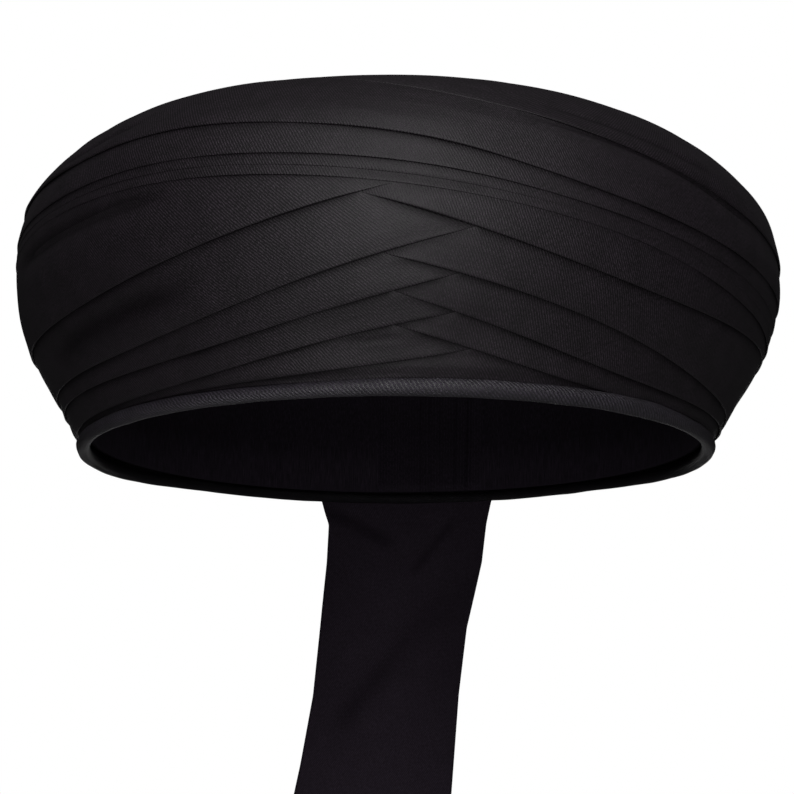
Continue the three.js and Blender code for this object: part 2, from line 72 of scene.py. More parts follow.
# %% [markdown]
# ## The camera
# The turban was seen from the front, from a little below its rim and from nearly a metre away.
# Its rim then shows as two arcs with the dark hollow between them. The camera is made first, so
# that every later choice can be judged in the same view.

# %% Camera
CAMERA_PLACE = Vector((0.34, -882, -138)) * MM
CAMERA_PITCH = math.radians(10.05)
CAMERA_FOCUS_PX = 3082
FRAME_PX = 794
SENSOR_WIDTH_MM = 36

camera_data = bpy.data.cameras.new("camera")
camera_data.sensor_width = SENSOR_WIDTH_MM
camera_data.lens = SENSOR_WIDTH_MM * CAMERA_FOCUS_PX / FRAME_PX
camera = bpy.data.objects.new("camera", camera_data)
camera.location = CAMERA_PLACE
camera.rotation_euler = (math.pi / 2 + CAMERA_PITCH, 0, 0)
bpy.context.scene.collection.objects.link(camera)
bpy.context.scene.camera = camera
print("lens in mm:", round(camera_data.lens, 1))

# %% [markdown]
# ## The wound form
# Every turn lies on one smooth wall, which leans out from the rim to the belly and rolls in over
# the crown. The wall could be a sculpted mesh, but a curve swept round an ellipse is better here:
# a place on it is then just an angle, a distance up the wall and a depth below its surface, and
# every fold can be drawn in those three numbers. The angle is 0 at the front and grows towards
# +X, and the distance up the wall is called its girth.

# %% Lengths
def run_length(points):
    """Length of the line through some points."""
    return sum((end - start).length for start, end in zip(points, points[1:]))


# %% Ring, roll and wall sizes
ROLL_DIAMETER = 5 * MM
RING_HALF_WIDTH = (175 * MM + ROLL_DIAMETER) / 2
RING_HALF_LENGTH = (205 * MM + ROLL_DIAMETER) / 2
BELLY_OVERHANG = 20 * MM
CROWN_HEIGHT = 93.6 * MM
SIDE_LEAN = 3 * MM
SIDE_SHIFT = 1.2 * MM

# Each row is an angle, the roll's thickness as a share of its diameter, and its lift: 0 where
# its underside lies in the rim's plane and 1 where its upper side lies level instead
ROLL_SHAPE = [
    (-180, 0.6, 1),
    (-140, 0.6, 1),
    (-95, 0.8, 0),
    (-20, 0.8, 0),
    (5, 1, 0),
    (45, 1, 0),
    (65, 0.8, 0),
    (95, 0.8, 0),
    (140, 0.6, 1),
    (180, 0.6, 1),
]

# Each row is out, a share of the overhang, in, of the ring's half width, and up, of the height
WALL_OUTLINE = [
    (0.055, 0, 0.039),
    (0.34, 0, 0.149),
    (0.733, 0, 0.288),
    (0.976, 0, 0.447),
    (0.998, 0, 0.606),
    (0.754, 0, 0.751),
    (0.001, 0, 0.895),
    (0, 0.172, 0.957),
    (0, 0.389, 1),
    (0, 0.625, 0.996),
]


def ease(share):
    """Goes from 0 to 1 with a gentle start and end."""
    share = min(max(share, 0), 1)
    return share * share * (3 - 2 * share)


def roll_section(angle):
    """Radius of the roll and height of its middle line at an angle."""
    angle = (angle + 180) % 360 - 180
    after = next(i for i in range(1, len(ROLL_SHAPE)) if ROLL_SHAPE[i][0] >= angle)
    (start, thick, lift), (end, next_thick, next_lift) = ROLL_SHAPE[after - 1:after + 1]
    t = ease((angle - start) / (end - start))
    radius = ROLL_DIAMETER / 2 * (thick + (next_thick - thick) * t)
    return radius, radius + (ROLL_DIAMETER - 2 * radius) * (lift + (next_lift - lift) * t)


def smooth_line(points, steps):
    """A curve through all points, each stretch in so many steps."""
    ends = [2 * points[0] - points[1], *points, 2 * points[-1] - points[-2]]
    line = []
    for before, start, end, after in zip(ends, ends[1:], ends[2:], ends[3:]):
        handles = start + (end - before) / 6, end - (after - start) / 6
        line += interpolate_bezier(start, *handles, end, steps + 1)[:-1]
    return line + [points[-1]]


def even_line(line, spacing):
    """The same line with its points an even distance apart."""
    even = [line[0]]
    left = spacing
    for start, end in zip(line, line[1:]):
        length = (end - start).length
        while left <= length:
            even.append(start.lerp(end, left / length))
            left += spacing
        left -= length
    return even + [line[-1]]


WALL_SPACING = 0.25 * MM
WALL_STEPS = 60
wall = even_line(smooth_line([
    Vector((out * BELLY_OVERHANG - inward * RING_HALF_WIDTH, up * CROWN_HEIGHT))
    for out, inward, up in WALL_OUTLINE], WALL_STEPS), WALL_SPACING)
WALL_GIRTH = (len(wall) - 2) * WALL_SPACING + (wall[-1] - wall[-2]).length
OUTER_HALF_WIDTH = RING_HALF_WIDTH + BELLY_OVERHANG
print("wall girth in mm:", round(WALL_GIRTH / MM, 1))


def leaned(x, y, z):
    """The turban stands a little higher on its left side, and its top lies to the right."""
    lean = SIDE_LEAN * x / OUTER_HALF_WIDTH * z / CROWN_HEIGHT
    return Vector((x + SIDE_SHIFT * max(z, 0) / CROWN_HEIGHT, y, z - lean))


def ring_point(angle, offset, z):
    """A point outside the ring's middle line by offset."""
    turn = math.radians(angle)
    return leaned((RING_HALF_WIDTH + offset) * math.sin(turn),
                  -(RING_HALF_LENGTH + offset) * math.cos(turn), z)


def wall_section(girth, depth):
    """Offset and height of the wall at a girth, sunk by depth."""
    place = min(max(girth / WALL_SPACING, 0), len(wall) - 2.001)
    step = int(place)
    along = (wall[step + 1] - wall[step]).normalized()
    point = wall[step].lerp(wall[step + 1], place - step)
    return point.x - along.y * depth, point.y + along.x * depth


def wall_point(angle, girth, depth):
    return ring_point(angle, *wall_section(girth, depth))


# %% [markdown]
# ## Where the folds run
# Two kinds of turn lie on the wall. Five turns run all the way round, high on the left and low
# on the right. Under them, nine turns cross at the front and again at the back: each lies low on
# one side and climbs straight over the middle. The same short tables as in the CAD model give
# the height of every lower fold, as a share of the wall's girth.

# %% Fold heights
# Each row of TOP_TURNS holds one turn's heights at these angles
TOP_TURN_ANGLES = (-135, -90, -60, -30, 0, 30, 60, 90, 135, 180)
TOP_TURNS = [
    (0.722, 0.801, 0.771, 0.702, 0.587, 0.475, 0.395, 0.363, 0.423, 0.562),
    (0.423, 0.433, 0.456, 0.479, 0.439, 0.358, 0.309, 0.289, 0.334, 0.393),
    (0.363, 0.373, 0.397, 0.412, 0.385, 0.327, 0.276, 0.249, 0.289, 0.334),
    (0.344, 0.355, 0.381, 0.393, 0.363, 0.311, 0.254, 0.226, 0.266, 0.314),
    (0.324, 0.34, 0.366, 0.374, 0.346, 0.295, 0.233, 0.204, 0.244, 0.294),
]
# Each row is the low side, the heights there, at the front and at the back, and the knee angle
CROSSING_TURNS = [
    (-1, 0.18, 0.347, 0.289, 51),
    (1, 0.182, 0.312, 0.266, 37),
    (-1, 0.085, 0.236, 0.209, 39),
    (1, 0.045, 0.221, 0.189, 62),
    (-1, 0.055, 0.165, 0.145, 30),
    (1, 0.023, 0.16, 0.13, 35),
    (-1, 0.008, 0.103, 0.09, 34),
    (1, -0.007, 0.099, 0.08, 30),
    (-1, 0, 0.036, 0.304, 17),
]
KNEE_SOFTNESS = 10
CROWN_EDGE = 0.722
ROLL_TOUCH = 0.3 * MM
SEAT_TRIES = 14
ANGLE_STEP = 0.5
ANGLE_COUNT = round(360 / ANGLE_STEP)


def top_fold(heights, angle):
    """A smooth run through a top turn's heights, round the whole turban."""
    count = len(heights)
    after = next((i for i, a in enumerate(TOP_TURN_ANGLES) if a > angle), count)

    def key(i):
        return TOP_TURN_ANGLES[i % count] + 360 * (i // count), heights[i % count]

    (a0, h0), (a1, h1), (a2, h2), (a3, h3) = (key(after + i) for i in (-2, -1, 0, 1))
    span = a2 - a1
    t = (angle - a1) / span
    slope_start = (h2 - h0) / (a2 - a0) * span
    slope_end = (h3 - h1) / (a3 - a1) * span
    return ((2 * t**3 - 3 * t**2 + 1) * h1 + (t**3 - 2 * t**2 + t) * slope_start
            + (3 * t**2 - 2 * t**3) * h2 + (t**3 - t**2) * slope_end)


def crossing_fold(row, angle):
    """A crossing turn lies low on its own side and climbs over the front and the back."""
    side, low, front, back, knee = row
    folded = math.copysign(180, angle) - angle if abs(angle) > 90 else angle

    def soft(x):
        return KNEE_SOFTNESS * math.log1p(math.exp(x / KNEE_SOFTNESS))

    facing = 0.5 + 0.5 * math.cos(math.radians(angle))
    top = back + (front - back) * facing
    return low + (top - low) * soft(knee - side * folded) / soft(knee)


def seat(angle):
    """The girth at which the lowest folds lie on the roll and press into it a little."""
    radius, middle = roll_section(angle)
    low, high = 0, 2 * ROLL_DIAMETER
    for _ in range(SEAT_TRIES):
        girth = (low + high) / 2
        offset, z = wall_section(girth, 0)
        if math.hypot(offset, z - middle) < radius - ROLL_TOUCH:
            low = girth
        else:
            high = girth
    return high


# %% The order of the turns, from the outermost one inwards
turn_rules = [("crown", lambda angle: CROWN_EDGE)]
for number, row in enumerate(TOP_TURNS, 1):
    turn_rules.append((f"top_turn_{number}", lambda angle, row=row: top_fold(row, angle)))
for number, row in enumerate(CROSSING_TURNS):
    side_name = "left" if row[0] < 0 else "right"
    turn_rules.append((
        f"{side_name}_turn_{number // 2 + 1}", lambda angle, row=row: crossing_fold(row, angle)))
turn_rules.append(("base_turn", lambda angle: 0))

sampled_angles = [-180 + ANGLE_STEP * i for i in range(ANGLE_COUNT)]
seats = [seat(a) for a in sampled_angles]
folds = [[max(rule(a) * WALL_GIRTH, lowest) for a, lowest in zip(sampled_angles, seats)]
         for name, rule in turn_rules]
cover_turns = [[0] * ANGLE_COUNT]
for k in range(1, len(folds)):
    cover_turns.append([min(range(k), key=lambda j: folds[j][i]) for i in range(ANGLE_COUNT)])
covers = [[WALL_GIRTH] * ANGLE_COUNT]
for k in range(1, len(folds)):
    covers.append([folds[cover_turns[k][i]][i] for i in range(ANGLE_COUNT)])
print("turns, outermost first:", ", ".join(name for name, rule in turn_rules))


def sampled(values, angle):
    """A value at any angle, from values kept at every sampled angle."""
    place = (angle + 180) / ANGLE_STEP
    step = math.floor(place)
    here, after = values[step % ANGLE_COUNT], values[(step + 1) % ANGLE_COUNT]
    return here + (after - here) * (place - step)


# %% [markdown]
# ## How a band of cloth lies
# A folded lower edge stands proud of the band under it by about the thickness of the doubled
# cloth, and the band then slips down under the next fold above. The step between them gives the
# thin dark line along each fold. Near the tip where a fold dips under another one the step dies
# away. Displacing one smooth shell could fake these steps, but separate bands with rolled edges
# give true shadows and a true outline from every side.

# %% Depth of a band
FOLD_STEP = 0.8 * MM
FULL_STEP_WIDTH = 5 * MM
OUTER_DEPTH = -0.8 * MM
CLOTH_CLEARANCE = 0.1 * MM
THINNEST_HEM = 0.3 * MM
FOLD_VARIETY = 0.5
FOLD_VARIETY_ANGLE = 9
FOLD_NOISE_STEP = 3.7

# How strongly the folds of some turns stand out at the angles above them. The others are at 1.
STRENGTH_ANGLES = (-150, -60, 0, 30, 60, 150, 210)
FOLD_STRENGTHS = {
    "crown": (0.3, 0.2, 0.1, 0.4, 0.6, 0.3, 0.3),
    "top_turn_1": (0.7, 0, 0, 0.5, 0.7, 0.7, 0.7),
    "top_turn_2": (1, 1, 0.8, 0.8, 0.8, 1, 1),
    "top_turn_3": (0.8, 0.6, 0.5, 0.4, 0.3, 0.8, 0.8),
    "top_turn_4": (0.6, 0.35, 0.2, 0.12, 0.12, 0.6, 0.6),
    "top_turn_5": (0.8, 0.6, 0.7, 0.8, 0.8, 0.8, 0.8),
}


def fold_strength(k, angle):
    """A turn's strength from the table, with a slow unevenness along the fold."""
    spot = Vector((angle / FOLD_VARIETY_ANGLE, k * FOLD_NOISE_STEP, 0))
    uneven = 1 + FOLD_VARIETY * noise.noise(spot)
    strengths = FOLD_STRENGTHS.get(turn_rules[k][0])
    if strengths is None:
        return uneven
    place = (angle - STRENGTH_ANGLES[0]) % 360 + STRENGTH_ANGLES[0]
    after = next(i for i, a in enumerate(STRENGTH_ANGLES) if a > place)
    start, end = STRENGTH_ANGLES[after - 1], STRENGTH_ANGLES[after]
    t = ease((place - start) / (end - start))
    return uneven * (strengths[after - 1] * (1 - t) + strengths[after] * t)


def fold_proud(k, angle):
    """How far a turn's fold stands proud, which is less where the turn is narrow."""
    width = sampled(covers[k], angle) - sampled(folds[k], angle)
    return FOLD_STEP * ease(width / FULL_STEP_WIDTH) * sampled(strengths_round[k], angle)


strengths_round = [[fold_strength(k, a) for a in sampled_angles] for k in range(len(folds))]


def turn_above(k, angle):
    """The turn whose fold lies next above turn k at an angle."""
    return cover_turns[k][round((angle + 180) / ANGLE_STEP) % ANGLE_COUNT]


def face_depth(k, angle, girth):
    """Depth of a turn's outer face below the wall, on to where it is hidden by other turns."""
    low = sampled(folds[k], angle)
    high = sampled(covers[k], angle)
    if girth <= high or k == 0:
        share = (girth - low) / max(high - low, MM)
        return FOLD_STEP - fold_proud(k, angle) * (1 - min(max(share, 0), 1))
    above = turn_above(k, angle)
    sunk = face_depth(above, angle, girth) - face_depth(above, angle, high)
    return FOLD_STEP + max(sunk, 0) + CLOTH_CLEARANCE * ease((girth - high) / MM)


# %% [markdown]
# ## Slack in the cloth
# Cloth pulled round a form is never quite even. Broad swells come from the turns underneath,
# and long shallow creases run along each band where it was pulled tighter on one edge. Seeded
# noise gives both, and a short table adds the few creases that can be seen one by one.

# %% Swells and creases
SWELL_HEIGHT = 0.45 * MM
SWELL_LENGTH = 46 * MM
CREASE_HEIGHT = 0.22 * MM
CREASE_LENGTH = 38 * MM
CREASE_WIDTH = 6 * MM
CREASE_NOISE_STEP = 11.3
CREASE_FADE_WIDTH = 2 * MM
END_FADE = 4
# Painted shade: its width under a fold, its share there and the crease depth at which it is full
PAINTED_SHADE_WIDTH = 1.5 * MM
PAINTED_SHADE_UNDER_FOLD = 0.6
FULL_SHADE_CREASE_DEPTH = 1.6 * MM
ROLL_TUCK = 0.9 * MM
ROLL_TUCK_WIDTH = 4 * MM

# Each row is a start angle and share of the girth, the same for the end, a width and a depth
SOFT_CREASES = [
    (-76, 0.316, -30, 0.354, 2 * MM, 1.2 * MM),
    (-72, 0.127, -28, 0.19, 3.6 * MM, 1.1 * MM),
    (-9, 0.069, 2, 0.08, 0.9 * MM, 0.3 * MM),
    (-9, 0.373, 16, 0.332, 1 * MM, 0.35 * MM),
    (16, 0.51, 64, 0.372, 1.3 * MM, 0.6 * MM),
    (20, 0.56, 54, 0.44, 1.3 * MM, 0.6 * MM),
    (-62, 0.47, -42, 0.535, 1.5 * MM, 0.6 * MM),
]


def ring_spot(angle, height):
    """A spot on the ring at an angle, at which the noise is read."""
    turn = math.radians(angle)
    return Vector((math.sin(turn) * RING_HALF_WIDTH, math.cos(turn) * RING_HALF_LENGTH, height))


def swell(angle, girth):
    """Broad unevenness that all turns share, so that they stay in their order."""
    return SWELL_HEIGHT * noise.noise(ring_spot(angle, girth) / SWELL_LENGTH)


def band_crease(k, angle, girth):
    """Long shallow creases along one turn."""
    spot = ring_spot(angle, 0) / CREASE_LENGTH
    spot.z = (girth - sampled(folds[k], angle)) / CREASE_WIDTH + k * CREASE_NOISE_STEP
    return CREASE_HEIGHT * noise.noise(spot)


def soft_crease(angle, girth):
    """The few creases that show one by one, as grooves that fade out at both ends."""
    angle = (angle + 180) % 360 - 180
    sunk = 0
    for start, start_share, end, end_share, width, depth in SOFT_CREASES:
        t = (angle - start) / (end - start)
        if 0 < t < 1:
            middle = (start_share + (end_share - start_share) * t) * WALL_GIRTH
            fade = ease(min(t, 1 - t) * END_FADE)
            sunk += depth * fade * math.exp(-(((girth - middle) / width) ** 2))
    return sunk


def cloth_point(k, angle, girth, depth):
    """A point of turn k, with the slack of its cloth. The lowest cloth is drawn in to the roll."""
    visible = ease((sampled(covers[k], angle) - girth) / CREASE_FADE_WIDTH)
    slack = swell(angle, girth) + band_crease(k, angle, girth) * visible
    tuck = ROLL_TUCK * ease(1 - (girth - sampled(seats, angle)) / ROLL_TUCK_WIDTH)
    return wall_point(angle, girth, OUTER_DEPTH + depth + soft_crease(angle, girth) + tuck - slack)


def painted_shade(k, angle, girth):
    """Painted shade: 0 on open cloth, up to 1 in a crease or close under the next fold."""
    gap = max(sampled(covers[k], angle) - girth, 0)
    proud = fold_proud(turn_above(k, angle), angle)
    under_fold = math.exp(-((gap / PAINTED_SHADE_WIDTH) ** 2)) * proud / FOLD_STEP
    return min(1, PAINTED_SHADE_UNDER_FOLD * under_fold + soft_crease(angle, girth) / FULL_SHADE_CREASE_DEPTH)


# %% [markdown]
# ## Wrapping a grid round the form
# All the cloth here is made in the same way: a bmesh grid whose columns go round the turban and
# whose rows go across the cloth. Every vertex of the grid is then carried to its place, edges
# that meet are merged, and open ends are filled. The grid also gets a UV map in real metres
# along and across the cloth, so that the weave later follows each band.

# %% Grid to cloth
WELD_DISTANCE = 0.002 * MM
UV_NAME = "cloth"
# The mesh attribute that carries the painted shade
PAINTED_SHADE_NAME = "painted_shade"


def object_from(bm, name):
    """A new object in the scene from a finished bmesh."""
    mesh = bpy.data.meshes.new(name)
    bm.to_mesh(mesh)
    bm.free()
    piece = bpy.data.objects.new(name, mesh)
    bpy.context.scene.collection.objects.link(piece)
    return piece


def wrap_grid(name, columns, rows, place, lay, open_rim=False, shade_paint=None):
    """A new object from a grid. place(i, j) is a vertex's point and lay(i, j) its UV."""
    bm = bmesh.new()
    uv_layer = bm.loops.layers.uv.new(UV_NAME)
    # Painted shade of each vertex, kept in a mesh attribute
    shade_paint_layer = bm.verts.layers.float.new(PAINTED_SHADE_NAME) if shade_paint else None
    bmesh.ops.create_grid(bm, x_segments=columns, y_segments=rows, size=1)
    spots = {}
    for vert in bm.verts:
        spots[vert] = round((vert.co.x + 1) / 2 * columns), round((vert.co.y + 1) / 2 * rows)
    for face in bm.faces:
        face.smooth = True
        for loop in face.loops:
            loop[uv_layer].uv = lay(*spots[loop.vert])
    for vert, spot in spots.items():
        vert.co = place(*spot)
        if shade_paint:
            vert[shade_paint_layer] = shade_paint(*spot)
    bmesh.ops.remove_doubles(bm, verts=bm.verts, dist=WELD_DISTANCE)
    bmesh.ops.dissolve_degenerate(bm, dist=WELD_DISTANCE, edges=bm.edges)
    rim = [edge for edge in bm.edges if edge.is_boundary]
    if rim and not open_rim:
        bmesh.ops.holes_fill(bm, edges=rim, sides=0)
    for edge in rim:
        edge.smooth = False
    bmesh.ops.recalc_face_normals(bm, faces=bm.faces)
    return object_from(bm, name)


def dress(piece, material, slot, *nodes):
    """Gives a piece its material and its body, and hides the CAD nodes it stands for; slot is not
    used.
    """
    piece.data.materials.append(material)
    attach(piece, "root")
    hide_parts(*nodes)
    print(f"{piece.name}: {len(piece.data.polygons)} faces")


# %% [markdown]
# ## Cloth materials
# The turban is a fine black twill. Twill is woven so that each weft thread passes over two or
# more warp threads, one step further along in each row, and this leaves slanting ribs called
# wales. Here the wales lie 0.7 mm apart. An image texture would repeat and blur, so the wales
# are a wave pattern on the UV map, which is in real metres, with a darker colour painted as shade
# in the hollows between them. The thread is matt with a little fuzz, so the shader is rough with
# a weak specular and a thin sheen. A mesh attribute paints shade: it darkens the creases, the
# cloth close under each fold and the back of the roll, and weakens their specular.

# %% Colours and nodes
WAVE_PERIOD = math.pi / 10
SLACK_HEIGHT = 0.3 * MM
SLACK_SIZE = (1 / (32 * MM), 1 / (6 * MM), 1)
# How dark the painted shade makes the colour and the specular where it is full
PAINTED_SHADE_TONE = 0.25
WALE_DISTORTION = 1.8
THREAD_SIZE = (1 / (0.35 * MM), 1 / (0.9 * MM), 1)
CLOUD_SIZE = 7 * MM
SHEEN, SHEEN_COLOUR = 0.01, "#8a8a92"


def linear(hex_colour):
    """A colour written as sRGB hex, turned to linear RGBA."""
    channels = [int(hex_colour[i:i + 2], 16) / 255 for i in (1, 3, 5)]
    return [c / 12.92 if c <= 0.04045 else ((c + 0.055) / 1.055) ** 2.4 for c in channels] + [1]


def add(tree, kind, inputs, **settings):
    """Adds a node. Each input is a plain value or the output of another node."""
    node = tree.nodes.new("ShaderNode" + kind)
    for key, value in settings.items():
        setattr(node, key, value)
    for key, value in inputs.items():
        if isinstance(value, bpy.types.NodeSocket):
            tree.links.new(value, node.inputs[key])
        else:
            node.inputs[key].default_value = value
    return node


def empty_material(name):
    material = bpy.data.materials.new(name)
    material.use_nodes = True
    material.node_tree.nodes.clear()
    return material, material.node_tree


# %% Twill
def twill(name, thread, hollow_shade, wale_pitch, wale_turn, relief, specular, roughness, cloudy=0.26,
          paints_shade=True):
    """Woven twill: thread colour on the wales, painted shade in the hollows between them, and
    cloudy in tone.
    """
    material, tree = empty_material(name)
    cloth = add(tree, "UVMap", {}, uv_map=UV_NAME).outputs["UV"]
    turned = add(tree, "Mapping", {
        "Vector": cloth, "Rotation": (0, 0, math.radians(wale_turn))}).outputs["Vector"]
    wales = add(tree, "TexWave", {
        "Vector": turned, "Scale": WAVE_PERIOD / wale_pitch, "Distortion": WALE_DISTORTION,
        "Detail": 3.0, "Detail Scale": 2.0}, wave_type="BANDS", bands_direction="X",
        wave_profile="SIN")
    threads = add(tree, "TexNoise", {
        "Vector": add(tree, "Mapping", {
            "Vector": turned, "Scale": THREAD_SIZE}).outputs["Vector"],
        "Scale": 1.0, "Detail": 3.0, "Roughness": 0.65})
    slub = add(tree, "MapRange", {
        "Value": threads.outputs["Fac"], "From Min": 0.36, "From Max": 0.64, "To Min": 0.05,
        "To Max": 1.0})
    woven = add(tree, "Math", {0: wales.outputs["Fac"], 1: slub.outputs["Result"]},
                operation="MULTIPLY").outputs["Value"]
    # The darker colour between the wales is painted shade in the hollows of the weave
    colour = add(tree, "Mix", {
        "Factor": woven, "A": linear(hollow_shade), "B": linear(thread)}, data_type="RGBA")
    uneven = add(tree, "TexNoise", {
        "Vector": cloth, "Scale": 1 / CLOUD_SIZE, "Detail": 3.0, "Roughness": 0.6})
    tone = add(tree, "MapRange", {
        "Value": uneven.outputs["Fac"], "From Min": 0.3, "From Max": 0.7,
        "To Min": 1 - cloudy, "To Max": 1 + cloudy})
    tones, shine = tone.outputs["Result"], specular
    # Painted shade: the attribute darkens creases, the cloth under folds and the roll's back, and
    # weakens their specular
    if paints_shade:
        painted_shade_fac = add(tree, "Attribute", {}, attribute_name=PAINTED_SHADE_NAME).outputs["Fac"]
        shade_tone = add(tree, "MapRange", {
            "Value": painted_shade_fac, "To Min": 1.0, "To Max": PAINTED_SHADE_TONE}).outputs["Result"]
        tones = add(tree, "Math", {0: tones, 1: shade_tone}, operation="MULTIPLY").outputs["Value"]
        shine = add(tree, "MapRange", {
            "Value": painted_shade_fac, "To Min": specular, "To Max": specular * PAINTED_SHADE_TONE,
        }).outputs["Result"]
    toned = add(tree, "VectorMath", {
        0: colour.outputs["Result"], "Scale": tones}, operation="SCALE")
    slack = add(tree, "TexNoise", {
        "Vector": add(tree, "Mapping", {
            "Vector": cloth, "Scale": SLACK_SIZE}).outputs["Vector"],
        "Scale": 1.0, "Detail": 2.0})
    slack_bump = add(tree, "Bump", {
        "Height": slack.outputs["Fac"], "Strength": 1.0, "Distance": SLACK_HEIGHT})
    bump = add(tree, "Bump", {
        "Height": woven, "Strength": 1.0, "Distance": relief,
        "Normal": slack_bump.outputs["Normal"]})
    shader = add(tree, "BsdfPrincipled", {
        "Base Color": toned.outputs["Vector"], "Normal": bump.outputs["Normal"],
        "Roughness": roughness, "Specular IOR Level": shine, "IOR": 1.5,
        "Sheen Weight": SHEEN, "Sheen Roughness": 0.5, "Sheen Tint": linear(SHEEN_COLOUR)})
    add(tree, "OutputMaterial", {"Surface": shader.outputs["BSDF"]})
    return material


# After the name: the thread's colour, the colour of the painted shade in the hollows, the wales'
# pitch, turn and relief, the specular level and the roughness
TURN_TWILL = twill("black_cotton_twill_woven", "#3a303a", "#0d0a0d", 0.7 * MM, -35, 0.075 * MM,
                   0.5, 0.55)
TOP_TWILL = twill("black_cotton_twill_woven_other_way", "#3a303a", "#0d0a0d", 0.7 * MM, 35,
                  0.075 * MM, 0.5, 0.55)
ROLL_TWILL = twill("black_twill_piping_stretched", "#544b5a", "#17141a", 0.9 * MM, -45,
                   0.28 * MM, 0.9, 0.5)
CAP_CLOTH = twill("black_cotton_lining_plain", "#362d3a", "#1b171d", 0.5 * MM, 0, 0.03 * MM,
                  0.1, 0.8, 0.1, paints_shade=False)
TAIL_CLOTH = twill("black_fine_twill_pressed", "#3b333f", "#272128", 0.6 * MM, 35, 0.02 * MM,
                   0.06, 0.85, 0.06)
print("twills made: turns, top turn, roll, cap and tail")

# %% [markdown]
# ## The turns
# Each turn is a closed band: an outer face, a rolled lower fold, and an inner face behind it.
# Where other turns lie over it, the band goes on a little way under them, as the real cloth
# does. A band that shows only on part of the way round ends in a flat tip under its neighbours.

# %% Where each turn shows
HIDDEN_OVERLAP = 2.6 * MM
TIP_OVERLAP_ANGLE = 1.6
THINNEST_SHOWN = 0.2 * MM
NARROWEST_TURN = 1.3 * MM


def shown_stretches(k):
    """Start and end angle of each stretch in which a turn shows, or None for a whole ring."""
    shown = [covers[k][i] - folds[k][i] > THINNEST_SHOWN for i in range(ANGLE_COUNT)]
    if all(shown):
        return [None]
    stretches = []
    first_hidden = shown.index(False)
    start = None
    for step in range(first_hidden, first_hidden + ANGLE_COUNT + 1):
        angle = -180 + step * ANGLE_STEP
        if shown[step % ANGLE_COUNT] and start is None:
            start = angle - TIP_OVERLAP_ANGLE
        elif not shown[step % ANGLE_COUNT] and start is not None:
            stretches.append((start, angle + TIP_OVERLAP_ANGLE))
            start = None
    return [stretch for stretch in stretches if tallest(k, stretch) > NARROWEST_TURN]


def tallest(k, stretch):
    """The most that a turn shows of itself in a stretch."""
    steps = range(round((stretch[0] + 180) / ANGLE_STEP), round((stretch[1] + 180) / ANGLE_STEP))
    return max(covers[k][i % ANGLE_COUNT] - folds[k][i % ANGLE_COUNT] for i in steps)


# %% One turn
COLUMN_ANGLE = 1
ROW_WIDTH = 0.9 * MM
HEM_ROWS = 5
INNER_ROWS = 2
STEEPEST_SLOPE = 0.9
UV_STEP = 40 * MM


def fold_length(k):
    """Distance along a turn's fold at every sampled angle, and the fold's slope there."""
    points = [wall_point(a, g, 0) for a, g in zip(sampled_angles, folds[k])]
    lengths, slopes, total = [], [], 0
    for i, point in enumerate(points):
        after = points[(i + 1) % ANGLE_COUNT]
        rise = folds[k][(i + 1) % ANGLE_COUNT] - folds[k][i]
        lengths.append(total)
        slope = rise / (after - point).length
        slopes.append(math.asin(max(-STEEPEST_SLOPE, min(STEEPEST_SLOPE, slope))))
        total += (after - point).length
    return lengths + [total], slopes


def along_fold(lengths, angle):
    """Distance along the fold at an angle, which goes on growing past the seam at the back."""
    rounds, place = divmod((angle + 180) / ANGLE_STEP, ANGLE_COUNT)
    step = int(place)
    here = lengths[step] + (lengths[step + 1] - lengths[step]) * (place - step)
    return rounds * lengths[-1] + here


def turn_band(k, name, stretch):
    """A closed band for one shown stretch of turn k."""
    start, end = stretch or (-180, 180)
    columns = max(4, round((end - start) / COLUMN_ANGLE))
    angles = [start + (end - start) * i / columns for i in range(columns + 1)]
    widths = [sampled(covers[k], a) - sampled(folds[k], a) for a in angles]
    outer_rows = max(3, math.ceil((max(widths) + HIDDEN_OVERLAP) / ROW_WIDTH))
    rows = outer_rows + INNER_ROWS + HEM_ROWS
    lengths, slopes = fold_length(k)

    def section(i, j):
        """Girth, depth and distance across the cloth of a row, going once round the section."""
        angle, width = angles[i], max(widths[i], 0)
        low = sampled(folds[k], angle)
        thickness = max(THINNEST_HEM, fold_proud(k, angle) - CLOTH_CLEARANCE)
        radius = thickness / 2
        reach = width + HIDDEN_OVERLAP - radius
        if j <= outer_rows:
            across = radius + reach * j / outer_rows
            return low + across, face_depth(k, angle, low + across), across
        if j <= outer_rows + INNER_ROWS:
            share = 1 - (j - outer_rows) / INNER_ROWS
            across = radius + reach * share
            thin = thickness + (THINNEST_HEM - thickness) * share
            return low + across, face_depth(k, angle, low + across) + thin, across
        bend = math.pi * (1 - (j - outer_rows - INNER_ROWS) / HEM_ROWS)
        middle = face_depth(k, angle, low + radius) + radius
        return (low + radius - radius * math.sin(bend), middle - radius * math.cos(bend),
                radius * (1 - bend))

    def place(i, j):
        girth, depth, across = section(i, j)
        return cloth_point(k, angles[i], girth, depth)

    def lay(i, j):
        across = section(i, j)[2]
        slope = sampled(slopes, angles[i])
        return (along_fold(lengths, angles[i]) + across * math.sin(slope),
                across * math.cos(slope) + k * UV_STEP)

    # Painted shade at a vertex
    def shade_paint(i, j):
        return painted_shade(k, angles[i], section(i, j)[0])

    band = wrap_grid(name, columns, rows, place, lay, shade_paint=shade_paint)
    length = along_fold(lengths, end) - along_fold(lengths, start)
    shown_area = length * sum(max(width, 0) for width in widths) / len(widths)
    return band, (max(widths) + HIDDEN_OVERLAP, length), shown_area + HIDDEN_OVERLAP * length


